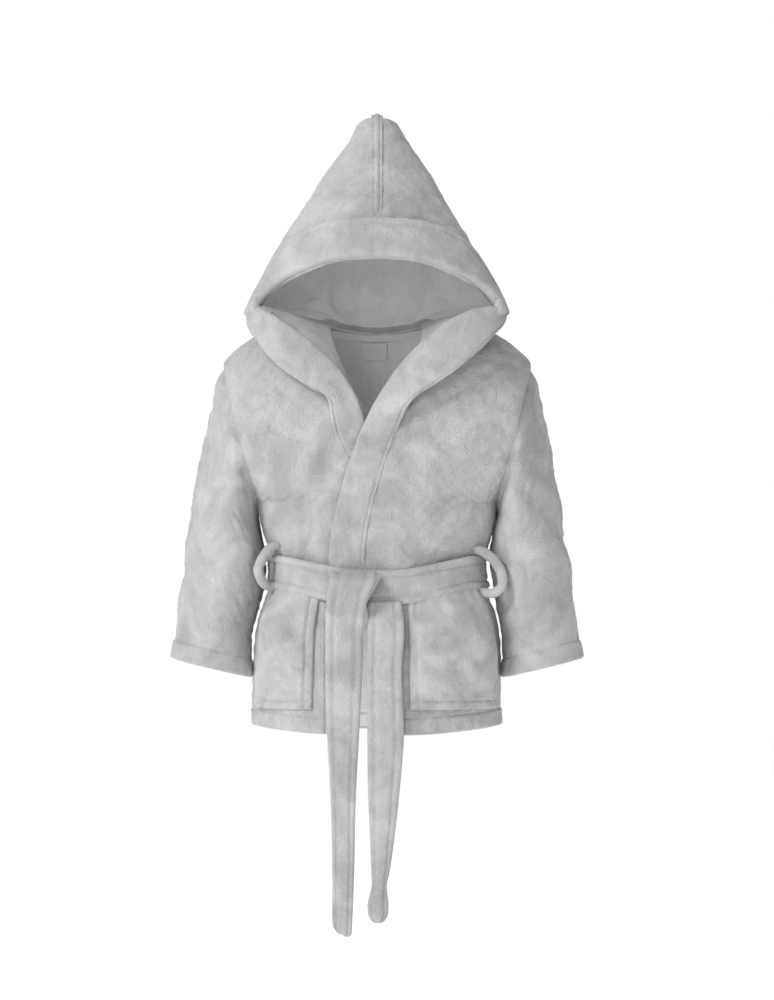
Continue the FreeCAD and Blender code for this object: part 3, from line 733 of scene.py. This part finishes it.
def sleeve_folds(seed):
    """Slanting creases round the elbow and under the arm."""
    depth, elbow_drop, elbow_span, slant = 3.6, 230.0, 90.0, 0.5

    def folds(points, normal, near):
        slanted = points * np.array([0.4, 0.4, 1.0])
        slanted[..., 2] += slant * points[..., 0]
        wave = noise(slanted, 30.0, seed) * bump(points[..., 2], -elbow_drop, elbow_span)
        wave = wave + 0.5 * noise(points * np.array([1.0, 1.0, 0.3]), 40.0, seed + 1)
        hold = smooth(near["v0"] / 16.0) * smooth(near["v1"] / 26.0)
        return normal * (depth * wave * hold)[..., None]

    return folds


def hood_folds(points, normal, near):
    """Broad waves, and the upright tuck each side where the hood is gathered behind the neck."""
    depth, tuck_depth, tuck_x, tuck_width = 3.0, 15.0, 62.0, 12.0
    wave = noise(points * np.array([1.0, 1.0, 0.6]), 48.0, 7)
    hold = smooth(near["v0"] / 25.0) * smooth(near["v1"] / 40.0)
    behind = smooth(points[..., 1] / 30.0)
    low = smooth((88.0 - points[..., 2]) / 50.0) * smooth((near["v0"] - 6.0) / 26.0)
    tuck_in = tuck_depth * bump(np.abs(points[..., 0]), tuck_x, tuck_width) * behind * low
    return normal * (depth * wave * hold - tuck_in)[..., None]


def slack(depth, size, seed):
    """Uneven cloth, lying as it should beside its seams."""

    def folds(points, normal, near):
        hold = smooth(np.minimum.reduce(list(near.values())) / 14.0)
        return normal * (depth * noise(points, size, seed) * hold)[..., None]

    return folds


def pocket_folds(seed, slant):
    """The slanting creases of a pocket's loose front."""
    depth, size = 3.6, 30.0

    def folds(points, normal, near):
        turned = stack(points[..., 2] + slant * points[..., 0], points[..., 0] * 0.3, 0.0)
        hold = smooth(np.minimum.reduce(list(near.values())) / 20.0)
        return normal * (depth * noise(turned, size, seed) * hold)[..., None]

    return folds


# ---------- the pieces


def put(
    obj, body, node, blend=None, slot="fleece", lined=False
):
    """Attaches a piece to its body, or only bakes its place in when it has a blend, hides the CAD node it
    stands for and gives it what it is made from. A lined piece shows a much paler fleece on its inner side:
    painted light for its shaded inside."""
    if blend:
        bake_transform(obj)
    else:
        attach(obj, body)
    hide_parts(node)
    for material in (slot, "inside" if lined else slot):
        obj.data.materials.append(MATERIALS[material])


ROBE_HEM = ("v0", 18.0, 1.2)


def build_body():
    back = cloth_piece(
        "back", back_surface, (370, 440), offset=1.5, hems=[ROBE_HEM], folds=robe_folds(4.0, 11),
        swell=ROOMIER, free=("v0",), seed=3,
    )
    put(back, "robe", "back_panel", lined=True)
    build_front("left", left_free_edge, False)
    build_front("right", right_free_edge, True)
    tape = cloth_piece("seam_tape", tape_surface, (160, 12), half=0.5, offset=-1.9, lump=0.05, seed=17)
    put(tape, "robe", "neck_tape", slot="tape")
    label = cloth_piece("blank_label", label_surface, (26, 18), half=0.4, lump=0.02, spacing=1.5, seed=19)
    put(label, "robe", "neck_label", slot="label")


def build_front(name, free_edge, covered):
    """A front with its band, lapel, pocket and belt loop. The covered one is the wearer's right."""
    panel = cloth_piece(
        f"front_{name}_cloth", front_panel(free_edge, covered), (150 if covered else 185, 440), offset=1.5,
        hems=[ROBE_HEM], folds=robe_folds(4.2, 21 if covered else 31), swell=ROOMIER, free=("v0",), seed=5,
        mirror=covered,
    )
    put(panel, "robe", f"front_{name}", lined=True)
    band = cloth_piece(
        f"band_{name}", front_band(free_edge, covered), (40, 520), half=DOUBLE, offset=2.3,
        hems=[("u0", 4.0, 0.7)], puff=lapel_puff, folds=slack(1.5, 34.0, 41 if covered else 51), seed=9,
        spacing=2.6, mirror=covered,
    )
    put(band, "robe", f"front_band_{name}")
    facing = cloth_piece(
        f"facing_{name}", lapel_facing(free_edge, covered), (42, 150), folds=slack(2.4, 24.0, 61), seed=13,
        mirror=covered,
    )
    put(facing, "robe", f"lapel_facing_{name}")
    patch = cloth_piece(
        f"patch_{name}", pocket(66.0 if covered else 34.0), (72 if covered else 105, 118), offset=1.6,
        mirror=covered, hems=[("u0", 9.0, 0.0), ("u1", 9.0, 0.0), ("v0", 9.0, 0.3)],
        folds=pocket_folds(71, 0.9 if covered else 1.1), swell=ROOMIER, free=("v1",), seed=15, spacing=2.4,
    )
    put(patch, "robe", f"pocket_{name}")
    put(belt_loop(f"loop_{name}", covered), "robe", f"belt_loop_{name}")


def tape_surface(u, v):
    """A narrow strip just under the back neck seam."""
    return back_surface(mix(0.37, 0.63, u), mix(0.955, 0.985, v))


def lapel_puff(points, near):
    """The folded lapel is thicker than the flat band, most of all along its outer roll."""
    rise = smooth((points[..., 2] + 120.0) / 60.0)
    return rise * (1.6 + 1.2 * bump(near["u0"], 8.0, 10.0))


LABEL_STAND = 2.8  # from the back panel's surface, inward


def label_surface(u, v):
    """A small label lying against the back panel's inside."""
    low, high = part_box("neck_label")
    x = mix(low.x, high.x, u) / METRES
    z = mix(low.z, high.z, v) / METRES
    rise = 1 + z / UNDERARM_DROP
    back = above_underarm(angle_at(x / shoulder_reach(rise)), rise, True)
    return stack(x, back[..., 1] - LABEL_STAND, z)


# Along the middle of each belt loop, the right one's mirrored.
LEFT_LOOP = [(98, -38, -233), (109, -44, -234), (122, -47, -243), (131, -48, -258), (131, -48, -270)]
LEFT_LOOP += [(123, -46, -278), (110, -40, -277), (99, -32, -272)]
RIGHT_LOOP = [(99, -38, -228), (110, -44, -230), (120, -47, -242), (124, -48, -254), (121, -47, -265)]
RIGHT_LOOP += [(115, -44, -271), (103, -36, -270)]
LOOP_ACROSS, LOOP_DEEP, LOOP_LUMPS, LOOP_ROWS, LOOP_SIDES, LOOP_END = 5.4, 5.0, 0.10, 40, 20, 0.15


def belt_loop(name, covered):
    """A rolled strip sewn to the side seam at both ends, in the shape of a C."""
    share = np.linspace(0, 1, LOOP_ROWS)
    middle = through(RIGHT_LOOP, share) * MIRROR if covered else through(LEFT_LOOP, share)
    way = np.gradient(middle, axis=0)
    way /= np.linalg.norm(way, axis=1, keepdims=True)
    deep_way = np.array([0.0, 1.0, 0.0])
    wide_way = np.cross(way, deep_way)
    turn = 2 * math.pi * np.arange(LOOP_SIDES)[:, None] / LOOP_SIDES
    near_end = np.maximum(0.0, np.abs(2 * share - 1) - (1 - LOOP_END)) / LOOP_END
    full = np.sqrt(np.maximum(0.0, 1 - near_end**2))
    out = LOOP_ACROSS * np.cos(turn) * wide_way[:, None] + LOOP_DEEP * np.sin(turn) * deep_way
    out = full[:, None, None] * out
    ring = middle[:, None] + out
    ring = ring + out * (LOOP_LUMPS * noise(ring, 6.0, 77))[..., None]
    faces = sheet_faces(LOOP_ROWS, LOOP_SIDES, True)[:, ::-1].tolist()
    last = (LOOP_ROWS - 1) * LOOP_SIDES
    faces += [list(range(LOOP_SIDES)), list(range(last, last + LOOP_SIDES))[::-1]]
    return new_mesh(name, ring.reshape(-1, 3), faces)


HOOD_BLEND = ("hood", (0.0, -0.02, 0.03), (0.0, 0.02, 0.15))


def build_hood():
    for name, mirror in (("left", False), ("right", True)):
        side = cloth_piece(
            f"hood_side_{name}", hood_side, (230, 215), offset=-1.5, folds=hood_folds, puff=peak_taper,
            swell=0.012, joined=True, seed=23, mirror=mirror,
        )
        put(side, "robe", f"hood_{name}", blend=HOOD_BLEND, lined=True)
    cuff = cloth_piece(
        "brim", brim, (44, 440), half=3.4, offset=4.9, hems=[("u1", 8.0, 1.3)], puff=brim_puff,
        folds=slack(2.2, 36.0, 27), seed=25, spacing=2.6,
    )
    put(cuff, "robe", "hood_brim", blend=HOOD_BLEND)
    ridge = cloth_piece(
        "ridge", hood_ridge, (12, 420), half=2.3, offset=1.5, hems=[("u0", 2.6, 0.0), ("u1", 2.6, 0.0)],
        puff=puckers, lump=0.5, spacing=1.6, seed=29,
    )
    put(ridge, "robe", "hood_ridge_strip", blend=HOOD_BLEND)


def peak_taper(points, near):
    """The hood's sides are thinner at the peak, where they crowd together."""
    return -1.6 * (1 - smooth(near["v1"] / 14.0))


def brim_puff(points, near):
    """The brim is thickest along its fold."""
    return 2.2 * bump(near["u0"], 6.0, 9.0)


# Where an arm's cloth was meant to start and stop turning with the sleeve, in metres along X and Z. put bakes
# the arm in place and reads neither, so the cloth doesn't turn.
SLEEVE_TURN_FROM, SLEEVE_TURN_TO = (0.1455, -0.108), (0.2034, -0.1236)


def build_sleeves():
    for name, sign in (("left", 1), ("right", -1)):
        arm = cloth_piece(
            f"arm_{name}", sleeve, (265, 310), offset=-1.8, ring=True, hems=[("v1", 20.0, 1.4)],
            folds=sleeve_folds(33 + sign), swell=ROOMIER, free=("v1",), seed=35, mirror=sign < 0,
            centre_x=sign * SHOULDER_HALF_WIDTH,
        )
        start, end = ((sign * x, 0.0, z) for x, z in (SLEEVE_TURN_FROM, SLEEVE_TURN_TO))
        node = f"sleeve_{name}"
        put(arm, "robe", node, blend=(node, start, end), lined=True)


# ---------- the belt

TAIL_SPLIT_Z = -380.0
LONG_TAIL = {  # height: middle x, width, y
    -650: (-36, 18, -94.5),
    -620: (-36, 21, -94.5),
    -568: (-35, 23, -95.5),
    -493: (-35, 26, -94.5),
    -418: (-35, 34, -94.5),
    -342: (-34, 39, -95.0),
    -300: (-33, 40, -100.0),
    -280: (-30, 43, -106.0),
    -264: (-25, 48, -107.0),
}
SHORT_TAIL = {
    -622: (1.2, 20, -94.5),
    -613: (1.2, 21, -94.5),
    -601: (1.2, 22, -94.5),
    -580: (2.5, 16, -93.0),
    -568: (3.5, 19, -95.5),
    -530: (5.5, 26, -94.5),
    -474: (7.5, 34, -95.0),
    -429: (9, 38, -94.5),
    -361: (7.5, 37, -93.5),
    -299: (9, 37, -92.0),
    -285: (8, 34, -86.0),
}


STRAP_CROWN, TURN_SHARE, TURN_BACK, TURN_DOWN, SLANT_LENGTH = 1.5, 0.1, 20.0, 2.0, 26.0


def strap_surface(table, high, low, over_top=False, round_end=0.0, slant=0.0):
    """A belt end between two heights. Over the top of the knot it turns back down behind the belt. Its free
    end is rounded over the last round_end millimetres, and slant millimetres shorter on its left."""
    heights = sorted(table)
    values = [table[height] for height in heights]

    def surface(u, v):
        z = mix(high, low, v)
        at = hermite(heights, values, z)
        width = at[..., 1]
        if round_end:
            from_tip = np.maximum(0.0, 1 - (z - low) / round_end)
            width = width * np.sqrt(np.maximum(0.02, 1 - from_tip**2))
        x = at[..., 0] + width * (u - 0.5)
        y = at[..., 2] - STRAP_CROWN * np.sin(math.pi * u)
        z = z + slant * (0.5 - (x - at[..., 0]) / at[..., 1]) * smooth(1 - (z - low) / SLANT_LENGTH)
        if over_top:
            turned = np.clip(1 - v / TURN_SHARE, 0, 1) ** 2
            y = y + TURN_BACK * turned
            z = z - TURN_DOWN * turned
        return stack(x, y, z)

    return surface


def tail_puff(points, near):
    """Two rows of stitches down a belt end, about a fifth of its width from its edges."""
    inset, spread = 0.22, 0.045
    across = near["u0"] / np.maximum(near["u0"] + near["u1"], TINY)
    return -STITCH_DEPTH * (bump(across, inset, spread) + bump(across, 1 - inset, spread))


# The belt ends' joints: Y of both, and where the cloth was meant to start and stop turning, in metres. put
# bakes the ends in place and reads none of them, so the cloth doesn't turn.
TAIL_Y, KNOT_TURN, TAIL_TURN = -0.0945, (-0.288, -0.316), (-0.416, -0.452)


def build_belt():
    wrap = cloth_piece(
        "belt", belt_wrap, (575, 40), half=2.6, offset=8.2, ring=True,
        hems=[("v0", 8.5, 0.5), ("v1", 8.5, 0.5)], folds=slack(2.0, 26.0, 43), seed=45, spacing=2.6,
    )
    put(wrap, "robe", "belt_wrap")
    folds = slack(1.5, 14.0, 81)
    knot = cloth_piece("knot", knot_fold, (48, 36), half=4.6, folds=folds, seed=83, spacing=2.4)
    put(knot, "robe", "belt_knot")
    long_top = strap_surface(LONG_TAIL, -254.0, TAIL_SPLIT_Z, over_top=True)
    long_end = strap_surface(LONG_TAIL, TAIL_SPLIT_Z, -637.0, round_end=6.0, slant=10.0)
    build_tail("long_tail", LONG_TAIL[-300][0], long_top, 126.0, long_end, 257.0)
    short_top = strap_surface(SHORT_TAIL, -286.0, TAIL_SPLIT_Z)
    short_end = strap_surface(SHORT_TAIL, TAIL_SPLIT_Z, -620.0, round_end=11.0)
    build_tail("short_tail", SHORT_TAIL[-299][0], short_top, 94.0, short_end, 240.0)


def build_tail(name, x, top, top_length, end, end_length):
    """A belt end in two pieces, which meet square between its joints."""

    def turning(body, heights):
        return (body, *((x * METRES, TAIL_Y, z) for z in heights))

    upper = cloth_piece(
        f"{name}_strap", top, (40, top_length), half=DOUBLE, puff=tail_puff, butt=("v1",),
        folds=slack(1.2, 40.0, 47), seed=49, spacing=2.4,
    )
    put(upper, "robe", f"{name}_upper", blend=turning(name, KNOT_TURN))
    lower = cloth_piece(
        f"{name}_end", end, (34, end_length), half=DOUBLE, puff=tail_puff, butt=("v0",), seed=49, spacing=2.4,
        coarse=2.5,
    )
    blend = turning(f"{name}_end", TAIL_TURN)
    put(lower, name, f"{name}_lower", blend=blend)


# The knot's corners as (x, z): the belt's other end folded flat under the strap, and slanting on its right.
KNOT_TOP, KNOT_BOTTOM = [(-45, -258), (6, -258)], [(-46, -288), (-12, -290)]
KNOT_Y, KNOT_CROWN = -95.0, 2.0


def knot_fold(u, v):
    left_x, left_z = (mix(KNOT_TOP[0][k], KNOT_BOTTOM[0][k], v) for k in (0, 1))
    right_x, right_z = (mix(KNOT_TOP[1][k], KNOT_BOTTOM[1][k], v) for k in (0, 1))
    y = KNOT_Y - KNOT_CROWN * np.sin(math.pi * v)
    return stack(mix(left_x, right_x, u), y, mix(left_z, right_z, u))


# ---------- materials


def add_node(tree, kind, links, values=()):
    """A new node with its inputs linked from sockets or set to values, each by the input's name."""
    node = tree.nodes.new(kind)
    for name, socket in links.items():
        tree.links.new(socket, node.inputs[name])
    for name, value in dict(values).items():
        node.inputs[name].default_value = value
    return node


def noise_node(tree, vector, scale, detail, roughness=0.55, distortion=0.0):
    values = {"Scale": scale, "Detail": detail, "Roughness": roughness, "Distortion": distortion}
    return add_node(tree, "ShaderNodeTexNoise", {"Vector": vector}, values).outputs["Fac"]


def stretched(tree, vector, scale):
    return add_node(tree, "ShaderNodeMapping", {"Vector": vector}, {"Scale": scale}).outputs["Vector"]


def blend_colour(tree, factor, dark, light, low=0.35, high=0.65):
    node = add_node(tree, "ShaderNodeValToRGB", {"Fac": factor})
    for element, position, colour in zip(node.color_ramp.elements, (low, high), (dark, light)):
        element.position = position
        element.color = (*colour, 1)
    return node.outputs["Color"]


def multiply(tree, one, other):
    node = tree.nodes.new("ShaderNodeMix")
    node.data_type = "RGBA"
    node.blend_type = "MULTIPLY"
    node.inputs["Factor"].default_value = 1.0
    tree.links.new(one, node.inputs[6])
    tree.links.new(other, node.inputs[7])
    return node.outputs[2]


def raised(tree, height, distance, strength, under=None):
    links = {"Height": height, "Normal": under} if under else {"Height": height}
    values = {"Distance": distance, "Strength": strength}
    return add_node(tree, "ShaderNodeBump", links, values).outputs["Normal"]


def new_material(name):
    material = bpy.data.materials.new(name)
    material.use_nodes = True
    tree = material.node_tree
    shader = tree.nodes["Principled BSDF"]
    place = tree.nodes.new("ShaderNodeTexCoord").outputs["Object"]
    return material, tree, shader, place


def fleece_material(name, dark, light, depth):
    """Plush fleece: brushed patches of nap, a dense short pile and a soft sheen."""
    material, tree, shader, place = new_material(name)
    patches = noise_node(tree, place, 22, 4, 0.6, 0.8)
    brushed = noise_node(tree, stretched(tree, place, (1, 1, 0.45)), 95, 4, 0.6, 0.4)
    pile = noise_node(tree, place, 900, 3, 0.7)
    tufts = noise_node(tree, place, 380, 3, 0.65)
    colour = blend_colour(tree, patches, dark, light)
    colour = multiply(tree, colour, blend_colour(tree, brushed, (0.90, 0.90, 0.90), (1, 1, 1), 0.3, 0.7))
    colour = multiply(tree, colour, blend_colour(tree, pile, (0.86, 0.86, 0.86), (1, 1, 1), 0.3, 0.62))
    tree.links.new(colour, shader.inputs["Base Color"])
    normal = raised(tree, brushed, 0.0050, 0.38 * depth)
    normal = raised(tree, tufts, 0.0030, 0.7 * depth, normal)
    normal = raised(tree, pile, 0.0012, 0.8 * depth, normal)
    tree.links.new(normal, shader.inputs["Normal"])
    shader.inputs["Roughness"].default_value = 0.95
    shader.inputs["Specular IOR Level"].default_value = 0.12
    shader.inputs["Sheen Weight"].default_value = 0.35
    shader.inputs["Sheen Roughness"].default_value = 0.5
    return material


def woven_material(name, dark, light, rib):
    """A narrow woven tape or label, with its ribs running across."""
    material, tree, shader, place = new_material(name)
    wave = add_node(tree, "ShaderNodeTexWave", {"Vector": place}, {"Scale": rib, "Distortion": 0.6})
    wave.bands_direction = "X"
    speck = noise_node(tree, place, 600, 3)
    colour = blend_colour(tree, wave.outputs["Fac"], dark, light, 0.2, 0.8)
    colour = multiply(tree, colour, blend_colour(tree, speck, (0.9, 0.9, 0.9), (1, 1, 1)))
    tree.links.new(colour, shader.inputs["Base Color"])
    tree.links.new(raised(tree, wave.outputs["Fac"], 0.0004, 0.6), shader.inputs["Normal"])
    shader.inputs["Roughness"].default_value = 0.75
    shader.inputs["Sheen Weight"].default_value = 0.15
    return material


MATERIALS = {
    "fleece": fleece_material("fleece", (0.44, 0.44, 0.438), (0.61, 0.61, 0.607), 1.0),
    # The inside fleece is far paler than the outside. This is painted light for the shaded insides of the
    # hood, sleeves and robe.
    "inside": fleece_material("fleece_inside_painted_light", (0.88, 0.88, 0.877), (0.94, 0.94, 0.937), 0.5),
    "tape": woven_material("tape", (0.80, 0.80, 0.80), (0.86, 0.86, 0.86), 260),
    "label": woven_material("label", (0.84, 0.84, 0.835), (0.90, 0.90, 0.895), 420),
}

# ---------- floor, light and camera

FLOOR_Z, FLOOR_REACH = -760.0, 4000.0
CAMERA_X, CAMERA_Z, VIEW_HEIGHT = 0.0105, -0.1806, 1.05
CAMERA_DISTANCE, PLANE_Y, SENSOR = 5.0, -0.04, 36.0


def area_light(name, place, target, size, watts):
    data = bpy.data.lights.new(name, "AREA")
    data.shape = "SQUARE"
    data.size = size
    data.energy = watts
    light = bpy.data.objects.new(name, data)
    light.location = place
    aim(light, target)
    bpy.context.scene.collection.objects.link(light)


def aim(obj, target):
    way = Vector(target) - obj.location
    obj.rotation_euler = way.to_track_quat("-Z", "Y").to_euler()


def build_stage():
    corners = [(x * FLOOR_REACH, y * FLOOR_REACH, FLOOR_Z) for x, y in ((-1, -1), (1, -1), (1, 1), (-1, 1))]
    floor = new_mesh("floor", np.array(corners), [(0, 1, 2, 3)])
    material, tree, shader, place = new_material("floor")
    white = blend_colour(tree, noise_node(tree, place, 3, 3), (0.93, 0.93, 0.93), (0.95, 0.95, 0.95))
    tree.links.new(white, shader.inputs["Base Color"])
    shader.inputs["Roughness"].default_value = 0.9
    shader.inputs["Emission Color"].default_value = (1, 1, 1, 1)
    shader.inputs["Emission Strength"].default_value = 0.6
    floor.data.materials.append(material)
    area_light("key", (-1.9, -1.8, 1.7), (0, 0, -0.15), 0.9, 58)
    area_light("front", (-0.9, -3.6, 0.4), (0, 0, -0.1), 1.2, 24)
    area_light("top", (0.0, 0.6, 2.2), (0, 0, 0), 1.6, 12)
    build_world()
    data = bpy.data.cameras.new("camera")
    data.sensor_width = SENSOR
    data.lens = SENSOR * CAMERA_DISTANCE / VIEW_HEIGHT
    data.clip_end = 50
    camera = bpy.data.objects.new("camera", data)
    camera.location = (CAMERA_X, PLANE_Y - CAMERA_DISTANCE, CAMERA_Z)
    aim(camera, (CAMERA_X, PLANE_Y, CAMERA_Z))
    bpy.context.scene.collection.objects.link(camera)
    bpy.context.scene.camera = camera
    bpy.context.scene.view_settings.view_transform = "Standard"


def build_world():
    """White all round as the camera sees it, and dimmer as light."""
    world = bpy.data.worlds.new("studio")
    world.use_nodes = True
    bpy.context.scene.world = world
    tree = world.node_tree
    background = tree.nodes["Background"]
    path = tree.nodes.new("ShaderNodeLightPath")
    seen = {"Value": path.outputs["Is Camera Ray"]}
    strength = add_node(tree, "ShaderNodeMapRange", seen, {"To Min": 0.4, "To Max": 1.0})
    tree.links.new(strength.outputs["Result"], background.inputs["Strength"])
    background.inputs["Color"].default_value = (1, 1, 1, 1)


build_body()
build_hood()
build_sleeves()
build_belt()
build_stage()
